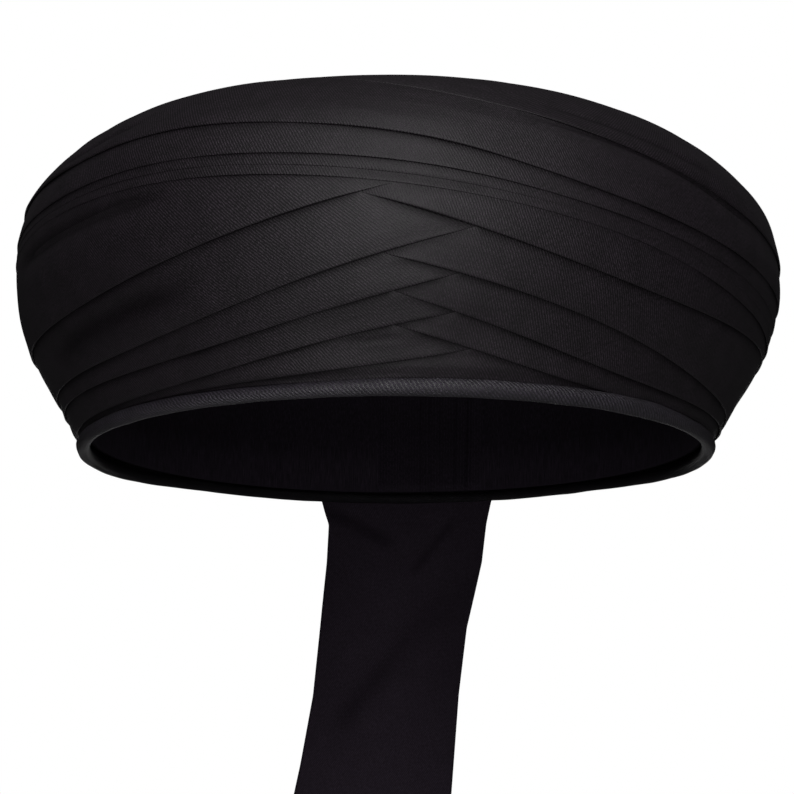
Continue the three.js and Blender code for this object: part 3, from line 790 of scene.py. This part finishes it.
# %% All turns
for k in range(1, len(folds)):
    name = turn_rules[k][0]
    cloth = TOP_TWILL if k == 1 else TURN_TWILL
    for stretch in shown_stretches(k):
        node = name
        if name == "base_turn":
            middle = sum(stretch) / 2
            node = "base_turn_front" if abs(middle) < 90 or abs(middle) > 270 else "base_turn_back"
        band, flat_size, flat_area = turn_band(k, f"{node}_cloth", stretch)
        dress(band, cloth, "turn_cloth", node)

# %% [markdown]
# ## The crown
# The top of the turban doesn't show from below. On the real object the last turns leave a
# shallow dish of cloth there, so the crown is finished plainly: one smooth cloth, folded under
# at its edge, with a few wide soft folds in it.

# %% Crown
CROWN_DIP = 0.9 * MM
CROWN_THICKNESS = 1.2 * MM
CROWN_ROWS = 30
CROWN_INNER_ROWS = 8
CROWN_COLUMNS = 288
CROWN_WALL_SHARE = 0.32
CROWN_FOLD_HEIGHT = 0.7 * MM
CROWN_FOLD_SIZE_MM = 60, 26
CROWN_FOLD_SEED = 3


def crown_surface(angle, share, depth):
    """From the crown's fold (share 0) over the wall's end to the middle (share 1)."""
    low = CROWN_EDGE * WALL_GIRTH
    if share <= CROWN_WALL_SHARE:
        girth = low + (WALL_GIRTH - low) * share / CROWN_WALL_SHARE
        return cloth_point(0, angle, girth, depth + face_depth(0, angle, girth))
    inner = 1 - (share - CROWN_WALL_SHARE) / (1 - CROWN_WALL_SHARE)
    offset, z = wall_section(WALL_GIRTH, depth + FOLD_STEP)
    turn = math.radians(angle)
    x = (RING_HALF_WIDTH + offset) * inner * math.sin(turn)
    y = -(RING_HALF_LENGTH + offset) * inner * math.cos(turn)
    spot = Vector((x / CROWN_FOLD_SIZE_MM[0], y / CROWN_FOLD_SIZE_MM[1], CROWN_FOLD_SEED)) / MM
    soft = noise.noise(spot) * ease((1 - inner) * END_FADE)
    slack = swell(angle, WALL_GIRTH) * inner
    return leaned(x, y, z - CROWN_DIP * (1 - inner) + soft * CROWN_FOLD_HEIGHT + slack)


def crown_place(i, j):
    angle = -180 + 360 * i / CROWN_COLUMNS
    if j <= CROWN_ROWS:
        return crown_surface(angle, 1 - j / CROWN_ROWS, 0)
    if j <= CROWN_ROWS + HEM_ROWS - 1:
        bend = math.pi * (j - CROWN_ROWS) / HEM_ROWS
        radius = CROWN_THICKNESS / 2
        girth = CROWN_EDGE * WALL_GIRTH - radius * math.sin(bend)
        depth = face_depth(0, angle, CROWN_EDGE * WALL_GIRTH) + radius - radius * math.cos(bend)
        return cloth_point(0, angle, girth, depth)
    share = (j - CROWN_ROWS - HEM_ROWS) / CROWN_INNER_ROWS
    return crown_surface(angle, share, CROWN_THICKNESS)


def crown_lay(i, j):
    point = crown_place(i, j)
    return point.x, point.y


def oval_size(run_up):
    """Width and length of an oval cloth laid flat, from the line run up to its middle."""
    left, right, front, back = (run_length(run_up(angle)) for angle in (-90, 90, 0, 180))
    return left + right, front + back


crown = wrap_grid("crown_cloth", CROWN_COLUMNS, CROWN_ROWS + HEM_ROWS + CROWN_INNER_ROWS,
                  crown_place, crown_lay)
dress(crown, TURN_TWILL, "turn_cloth", "crown")
crown_flat = oval_size(
    lambda angle: [crown_surface(angle, n / CROWN_ROWS, 0) for n in range(CROWN_ROWS + 1)])

# %% [markdown]
# ## The rim roll
# A cord of padding covered with a bias strip of the same twill closes the rim. Cut on the bias,
# its wales run at 45 degrees round the roll, and it catches the most light. A torus would do for
# a round hat, but this rim is an ellipse, so a grid is rolled up round the ring instead.

# %% Rim roll
ROLL_COLUMNS = 360
ROLL_ROWS = 20
ROLL_UNEVEN = 0.16 * MM
ROLL_UNEVEN_COUNT = 9
# Painted shade on the roll starts this many degrees from the front and is full after the fade
ROLL_SHADE_START_ANGLE = 50
ROLL_FADE_ANGLE = 50


def roll_place(i, j):
    angle = -180 + 360 * i / ROLL_COLUMNS
    turn = 2 * math.pi * j / ROLL_ROWS
    around = Vector((math.sin(math.radians(angle)), math.cos(math.radians(angle)), 0))
    radius, middle = roll_section(angle)
    spot = around * ROLL_UNEVEN_COUNT + Vector((0, 0, math.cos(turn)))
    radius += ROLL_UNEVEN * noise.noise(spot)
    return ring_point(angle, radius * math.cos(turn), middle + radius * math.sin(turn))


def roll_lay(i, j):
    ring_length = math.pi * (RING_HALF_WIDTH + RING_HALF_LENGTH)
    return ring_length * i / ROLL_COLUMNS, math.pi * ROLL_DIAMETER * j / ROLL_ROWS


def roll_painted_shade(i, j):
    """Painted shade: none on the front of the roll, full on its back."""
    angle = abs(-180 + 360 * i / ROLL_COLUMNS)
    return ease((angle - ROLL_SHADE_START_ANGLE) / ROLL_FADE_ANGLE)


roll = wrap_grid("rim_roll_cover", ROLL_COLUMNS, ROLL_ROWS, roll_place, roll_lay,
                 shade_paint=roll_painted_shade)
dress(roll, ROLL_TWILL, "roll_cloth", "rim_roll")

# %% [markdown]
# ## The cap inside
# The hollow is lined by a soft cotton cap: a band with small upright gathers, and a round top
# sewn to it. Both are thin shells with a real thickness, so that the rim and the hollow look
# right from below. A pleated strip is sewn inside the back wall.

# %% Cap sizes
CAP_WALL = 1.8 * MM
CAP_HALF_WIDTH = RING_HALF_WIDTH - ROLL_DIAMETER / 2
CAP_HALF_LENGTH = RING_HALF_LENGTH - ROLL_DIAMETER / 2
CAP_CLEARANCE = 0.3 * MM
CAP_UNDER_CROWN = 9.6 * MM
CAP_SEAT = ROLL_DIAMETER + CAP_CLEARANCE
CAP_DEPTH = CROWN_HEIGHT - CAP_UNDER_CROWN
CAP_POWER = 2 / 4
CAP_SEAM_TURN = 40
CAP_SEAM_GAP = 0.6
CAP_LAST_TURN = 89.9
CAP_UV_TURN = 60
CAP_COLUMNS = 288
GATHER_COUNT = 64
GATHER_HEIGHT = 0.5 * MM
GATHER_SHARE = 0.35
GATHER_FIRST_TURNS = 8
GATHER_END, GATHER_LAST_TURNS = 88, 40
DRIFT_ANGLE, DRIFT_COUNT = 2, 5
CRINKLE_COUNT = 14
CRINKLE_TURN = 25


def cap_point(angle, turn, grown):
    """A point of the cap at an angle round it and a turn from its rim up to its top."""
    cos, sin = math.cos(math.radians(turn)), math.sin(math.radians(turn))
    cos = max(cos, 0)
    normal = Vector((cos ** (2 - CAP_POWER), sin ** (2 - CAP_POWER))).normalized()
    share = cos ** CAP_POWER
    around = math.radians(angle)
    gather = math.sin(GATHER_COUNT * around + DRIFT_ANGLE * math.sin(DRIFT_COUNT * around))
    crinkle = noise.noise(Vector((math.sin(around) * CRINKLE_COUNT,
                                  math.cos(around) * CRINKLE_COUNT, turn / CRINKLE_TURN)))
    fade = ease(turn / GATHER_FIRST_TURNS)
    height = (GATHER_HEIGHT * (GATHER_SHARE * gather + crinkle) * fade
              * ease((GATHER_END - turn) / GATHER_LAST_TURNS))
    out = normal.x * (grown + height)
    z = CAP_SEAT + (CAP_DEPTH - CAP_SEAT) * sin ** CAP_POWER + normal.y * (grown + height)
    return leaned((CAP_HALF_WIDTH * share + out) * math.sin(around),
                  -(CAP_HALF_LENGTH * share + out) * math.cos(around), z)


# %% Cap band and top
BAND_ROWS = 22
TOP_ROWS = 18


def cap_shell(name, first_turn, last_turn, face_rows):
    """A closed shell between two turns: its inner face, then back over its outer face."""
    rows = 2 * face_rows + 2

    def spot(j):
        if j <= face_rows:
            return first_turn + (last_turn - first_turn) * j / face_rows, 0
        if j < rows:
            back = (j - face_rows - 1) / face_rows
            return last_turn + (first_turn - last_turn) * back, CAP_WALL
        return first_turn, 0

    def place(i, j):
        return cap_point(-180 + 360 * i / CAP_COLUMNS, *spot(j))

    def lay(i, j):
        turn, grown = spot(j)
        return 2 * math.pi * CAP_HALF_LENGTH * i / CAP_COLUMNS, CAP_DEPTH * turn / CAP_UV_TURN

    return wrap_grid(name, CAP_COLUMNS, rows, place, lay)


cap_band = cap_shell("cap_band_cloth", 0, CAP_SEAM_TURN, BAND_ROWS)
dress(cap_band, CAP_CLOTH, "inner_cloth", "cap_band")
cap_top = cap_shell("cap_top_cloth", CAP_SEAM_TURN + CAP_SEAM_GAP, CAP_LAST_TURN, TOP_ROWS)
dress(cap_top, CAP_CLOTH, "inner_cloth", "cap_top")
band_height = run_length([cap_point(0, CAP_SEAM_TURN * n / BAND_ROWS, 0)
                          for n in range(BAND_ROWS + 1)])
band_round = run_length([cap_point(angle, 0, 0) for angle in range(0, 361, 2)])
# The run has to reach 90 degrees: its last degree still covers an eighth of the half width
top_flat = oval_size(
    lambda angle: [cap_point(angle, turn, 0) for turn in range(CAP_SEAM_TURN, 91)])

# %% Pleated panel
panel_low, panel_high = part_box("inner_panel")
PANEL_COLUMNS = 110
PANEL_ROWS = 20
PANEL_SUNK = 0.3 * MM
PANEL_THICKNESS = 1.3 * MM
PANEL_EDGE = 0.12
PANEL_WOBBLE = 0.03
PANEL_WOBBLE_COUNT = 3
PANEL_WOBBLE_LENGTH = 30 * MM
PANEL_WOBBLE_SEED = 7

# Each row is the middle and the half width of a pleat, as shares of the width, and its height
PLEATS = [(0.45, 0.035, 0.6 * MM), (0.53, 0.03, 0.5 * MM), (0.62, 0.03, 0.3 * MM),
          (0.755, 0.035, 0.6 * MM), (0.86, 0.03, 0.9 * MM)]


def panel_height(across):
    """How far the panel stands off the cap, which is nothing at its two edges."""
    pleats = sum(height * ease(1 - abs(across - middle) / half) for middle, half, height in PLEATS)
    return PANEL_THICKNESS * ease(min(across, 1 - across) / PANEL_EDGE) + pleats


def panel_place(i, j):
    layer = 0 if j <= PANEL_ROWS else 1
    up = j / PANEL_ROWS if layer == 0 else 1 - (j - PANEL_ROWS - 1) / PANEL_ROWS
    if j == 2 * PANEL_ROWS + 2:
        layer, up = 0, 0
    across = i / PANEL_COLUMNS
    x = panel_low.x + (panel_high.x - panel_low.x) * across
    z = panel_low.z + (panel_high.z - panel_low.z) * up
    sine = min(1, max(0, (z - CAP_SEAT) / (CAP_DEPTH - CAP_SEAT))) ** (1 / CAP_POWER)
    share = math.sqrt(1 - sine**2) ** CAP_POWER
    wall_y = CAP_HALF_LENGTH * math.sqrt(share**2 - (x / CAP_HALF_WIDTH) ** 2)
    spot = Vector((across * PANEL_WOBBLE_COUNT, z / PANEL_WOBBLE_LENGTH, PANEL_WOBBLE_SEED))
    wobble = noise.noise(spot) * PANEL_WOBBLE
    return leaned(x, wall_y + PANEL_SUNK - (panel_height(across + wobble) if layer == 0 else 0), z)


def panel_lay(i, j):
    point = panel_place(i, j)
    return point.x, point.z


panel = wrap_grid("inner_panel_cloth", PANEL_COLUMNS, 2 * PANEL_ROWS + 2, panel_place, panel_lay)
dress(panel, CAP_CLOTH, "inner_cloth", "inner_panel")
panel_width = run_length([panel_place(i, PANEL_ROWS // 2) for i in range(PANEL_COLUMNS + 1)])
panel_drop = run_length([panel_place(PANEL_COLUMNS // 2, j) for j in range(PANEL_ROWS + 1)])

# %% [markdown]
# ## The tail
# The free end of the cloth comes out from under the last crossing at the back, passes over the
# roll and hangs down. It is a flat strip, 53 mm wide, a little bowed from side to side. A cloth
# simulation would only straighten it, so its rows are placed one by one: over the roll first, and
# then down its own drop, with two soft folds close to the rim and a long one below them.

# %% Tail sizes
TAIL_WIDTH = 53 * MM
TAIL_DROP = 103 * MM
TAIL_THICKNESS = 1.1 * MM
TAIL_FREE = 0.35

# Each row is a share of the drop, the left and right edges there and the bow, as shares of the
# width. The cloth spreads a little where it comes out from under the roll.
TAIL_OUTLINE = [
    (0, -0.455, 0.58, 0.09),
    (0.08, -0.405, 0.545, 0.12),
    (0.2, -0.415, 0.515, 0.15),
    (0.4, -0.45, 0.42, 0.19),
    (0.6, -0.49, 0.37, 0.2),
    (0.8, -0.565, 0.34, 0.17),
    (1, -0.655, 0.31, 0.13),
]
TAIL_TUCKED = 14 * MM
TAIL_DEPTH = 0.7 * MM
TAIL_COLUMNS = 60
TAIL_TOP_ROWS = 10
TAIL_ROWS = 96
TAIL_ROLL_RADIUS, TAIL_ROLL_MIDDLE = roll_section(180)
TAIL_CLEARANCE = 0.35 * MM
TAIL_OFFSET = TAIL_ROLL_RADIUS + TAIL_CLEARANCE

# Soft folds in the tail. Each row is a start and an end, across and down as shares of the tail,
# a width, the depth of a groove along it and how far the cloth beyond it lies back.
TAIL_FOLDS = [
    (0.02, 0.03, 0.4, 0.13, 2.5 * MM, 0.9 * MM, 0),
    (0.78, 0.07, 0.56, 0.22, 1.6 * MM, 0.6 * MM, 0),
    (0.86, 0.26, 0.2, 0.68, 4.5 * MM, 0.4 * MM, 2.4 * MM),
]
# How much shade is painted in the grooves of the tail's soft folds
TAIL_GROOVE_SHADE = 0.35
TAIL_WAVE_WIDTH = 40 * MM
TAIL_WAVE_LENGTH = 70 * MM
TAIL_WAVE_HEIGHT = 0.5 * MM
TAIL_WAVE_SEED = 5
LYING_BACK_WIDTHS = 6
TAIL_FOLD_START = 20


def tail_shape(down):
    """Left edge, right edge and bow at a share of the drop."""
    after = next((n for n, row in enumerate(TAIL_OUTLINE) if row[0] > down), len(TAIL_OUTLINE) - 1)
    before, here = TAIL_OUTLINE[after - 1], TAIL_OUTLINE[after]
    t = (down - before[0]) / (here[0] - before[0])
    return [a + (b - a) * t for a, b in zip(before[1:], here[1:])]


def tail_fold(across, down):
    """How far the soft folds push the tail back at a place, and the shade painted in their grooves
    there.
    """
    spot = Vector((across * TAIL_WIDTH, down * TAIL_DROP))
    back = shade_paint = 0
    for x0, y0, x1, y1, width, groove, step in TAIL_FOLDS:
        start = Vector((x0 * TAIL_WIDTH, y0 * TAIL_DROP))
        line = Vector((x1 * TAIL_WIDTH, y1 * TAIL_DROP)) - start
        t = (spot - start).dot(line) / line.length_squared
        side = (spot - start).cross(line) / line.length
        fade = ease(t * END_FADE + 0.5) * ease((1 - t) * END_FADE + 0.5)
        in_groove = fade * math.exp(-((side / width) ** 2))
        level = math.exp(-max(side, 0) / (LYING_BACK_WIDTHS * width))
        back += groove * in_groove
        back += fade * step * ease(side / width / 2 + 0.5) * level
        shade_paint += TAIL_GROOVE_SHADE * in_groove
    return back, min(shade_paint, 1)


def tail_place(i, j):
    across = i / TAIL_COLUMNS
    left, right, _ = tail_shape(0)
    side = math.degrees(math.asin(TAIL_WIDTH * (left + (right - left) * across) / RING_HALF_WIDTH))
    angle = 180 - side if side > 0 else -180 - side
    if j < TAIL_TOP_ROWS:
        up = 1 - j / TAIL_TOP_ROWS
        low = sampled(seats, angle)
        high = sampled(covers[-1], angle) + HIDDEN_OVERLAP
        offset, z = wall_section(low + (high - low) * up, TAIL_DEPTH)
        return ring_point(angle, max(offset, TAIL_OFFSET), z)
    down = (j - TAIL_TOP_ROWS) / TAIL_ROWS
    left, right, bow = tail_shape(down)
    x = TAIL_WIDTH * (left + (right - left) * across)
    z = TAIL_ROLL_MIDDLE - down * (TAIL_DROP + TAIL_ROLL_MIDDLE)
    free = ease(down / TAIL_FREE)
    on_rim = -(RING_HALF_LENGTH + TAIL_OFFSET) * math.cos(math.radians(angle))
    hanging = RING_HALF_LENGTH + TAIL_OFFSET - 4 * bow * TAIL_WIDTH * (across - 0.5) ** 2
    wave = noise.noise(Vector((x / TAIL_WAVE_WIDTH, z / TAIL_WAVE_LENGTH, TAIL_WAVE_SEED)))
    folded = tail_fold(across, down)[0] * ease(down * TAIL_FOLD_START)
    slack = TAIL_WAVE_HEIGHT * wave * free + folded
    return leaned(x, on_rim + (hanging - on_rim) * free + slack, z)


def tail_lay(i, j):
    length = TAIL_DROP + TAIL_TUCKED
    return TAIL_WIDTH * i / TAIL_COLUMNS, -length * j / (TAIL_TOP_ROWS + TAIL_ROWS)


def tail_painted_shade(i, j):
    return tail_fold(i / TAIL_COLUMNS, max(j - TAIL_TOP_ROWS, 0) / TAIL_ROWS)[1]


tail = wrap_grid("tail_cloth", TAIL_COLUMNS, TAIL_TOP_ROWS + TAIL_ROWS, tail_place, tail_lay,
                 open_rim=True, shade_paint=tail_painted_shade)
wall_of_tail = tail.modifiers.new("thickness", "SOLIDIFY")
wall_of_tail.thickness = TAIL_THICKNESS
wall_of_tail.offset = 0
dress(tail, TAIL_CLOTH, "tail_cloth", "tail")

# %% [markdown]
# ## The core
# Between the cap and the turns that show lie many more turns. They can only be glimpsed in the
# seams, so the CAD solid stays, and it gets the same black twill without a UV map.

# %% Core material
def core_cloth():
    """The inner turns' twill, patterned on object coordinates because the CAD mesh has no UVs."""
    material, tree = empty_material("black_cotton_twill_inner_turns")
    spot = add(tree, "TexCoord", {}).outputs["Object"]
    uneven = add(tree, "TexNoise", {"Vector": spot, "Scale": 1 / (4 * MM), "Detail": 3.0})
    colour = add(tree, "Mix", {
        "Factor": uneven.outputs["Fac"], "A": linear("#101012"), "B": linear("#1a1a1c")},
        data_type="RGBA")
    shader = add(tree, "BsdfPrincipled", {
        "Base Color": colour.outputs["Result"], "Roughness": 0.8, "Specular IOR Level": 0.1})
    add(tree, "OutputMaterial", {"Surface": shader.outputs["BSDF"]})
    return material


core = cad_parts["wound_core"]
core.data.materials.clear()
core.data.materials.append(core_cloth())
print("core:", core.material_slots[0].material.name)

# %% [markdown]
# ## Floor, light and background
# Black cloth on a white ground needs a gentle setting: a white backdrop that the camera sees,
# and a much weaker fill all round. Four area lights do the rest. The key is tall and narrow and
# stands in front, so that the front glows faintly and both sides fall off into the dark. A strip
# overhead keeps the crown's edge from going out, and a faint low light reaches the hollow and
# the tail. A weak light behind adds little to this view and keeps the back from going quite
# black when it is turned. The floor is pale and far below, because the turban is held up.

# %% Floor
FLOOR_HEIGHT = -1600 * MM
FLOOR_RADIUS = 8000 * MM
FLOOR_SIDES = 64
bm = bmesh.new()
bmesh.ops.create_circle(bm, cap_ends=True, segments=FLOOR_SIDES, radius=FLOOR_RADIUS)
bmesh.ops.translate(bm, verts=bm.verts, vec=(0, 0, FLOOR_HEIGHT))
floor = object_from(bm, "floor")
floor_paint, floor_tree = empty_material("pale_matt_studio_floor")
speck = add(floor_tree, "TexNoise", {
    "Vector": add(floor_tree, "TexCoord", {}).outputs["Object"], "Scale": 3.0})
shade = add(floor_tree, "Mix", {
    "Factor": speck.outputs["Fac"], "A": linear("#ececec"), "B": linear("#f2f2f2")},
    data_type="RGBA")
floor_shader = add(floor_tree, "BsdfPrincipled", {
    "Base Color": shade.outputs["Result"], "Roughness": 0.9})
add(floor_tree, "OutputMaterial", {"Surface": floor_shader.outputs["BSDF"]})
floor.data.materials.append(floor_paint)
floor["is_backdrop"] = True
print("floor at", FLOOR_HEIGHT, "m")

# %% World
FILL_STRENGTH = 0.018
BACKDROP_STRENGTH = 1.0
world = bpy.data.worlds.new("studio")
world.use_nodes = True
world_tree = world.node_tree
world_tree.nodes.clear()
seen = add(world_tree, "LightPath", {}).outputs["Is Camera Ray"]
strength = add(world_tree, "MapRange", {
    "Value": seen, "To Min": FILL_STRENGTH, "To Max": BACKDROP_STRENGTH})
background = add(world_tree, "Background", {
    "Color": linear("#ffffff"), "Strength": strength.outputs["Result"]})
add(world_tree, "OutputWorld", {"Surface": background.outputs["Background"]})
bpy.context.scene.world = world

# %% Lights
# Each row is a name, a place, a width and a height in mm, and watts
LIGHTS = [
    ("key_soft_box", (10, -1500, 400), 300, 1200, 11),
    ("top_strip", (30, -700, 1300), 160, 900, 4.2),
    ("low_front_fill", (0, -1400, -700), 900, 500, 3),
    ("back_fill", (0, 1600, 100), 900, 500, 2),
]
LIGHT_TARGET = Vector((0, 0, 40)) * MM
for name, spot, width, height, watts in LIGHTS:
    lamp_data = bpy.data.lights.new(name, "AREA")
    lamp_data.shape = "RECTANGLE"
    lamp_data.size, lamp_data.size_y = width * MM, height * MM
    lamp_data.energy = watts
    lamp = bpy.data.objects.new(name, lamp_data)
    lamp.location = Vector(spot) * MM
    lamp.rotation_euler = (LIGHT_TARGET - lamp.location).to_track_quat("-Z", "Y").to_euler()
    bpy.context.scene.collection.objects.link(lamp)
    print(name, "aims from", tuple(round(value, 2) for value in lamp.location))

# %% Colours shown as they are
bpy.context.scene.view_settings.view_transform = "Standard"
bpy.context.scene.view_settings.look = "None"

# %% [markdown]
# ## The size
# The boxes of the CAD model and of the dressed model are printed. The cloth may stand a few
# millimetres proud of the CAD model and no more.

# %% Size
bpy.context.view_layer.update()
DRESSED_BOX = [list(corner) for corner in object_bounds()]
print("dressed box in mm:", [[round(v / MM, 1) for v in corner] for corner in DRESSED_BOX])
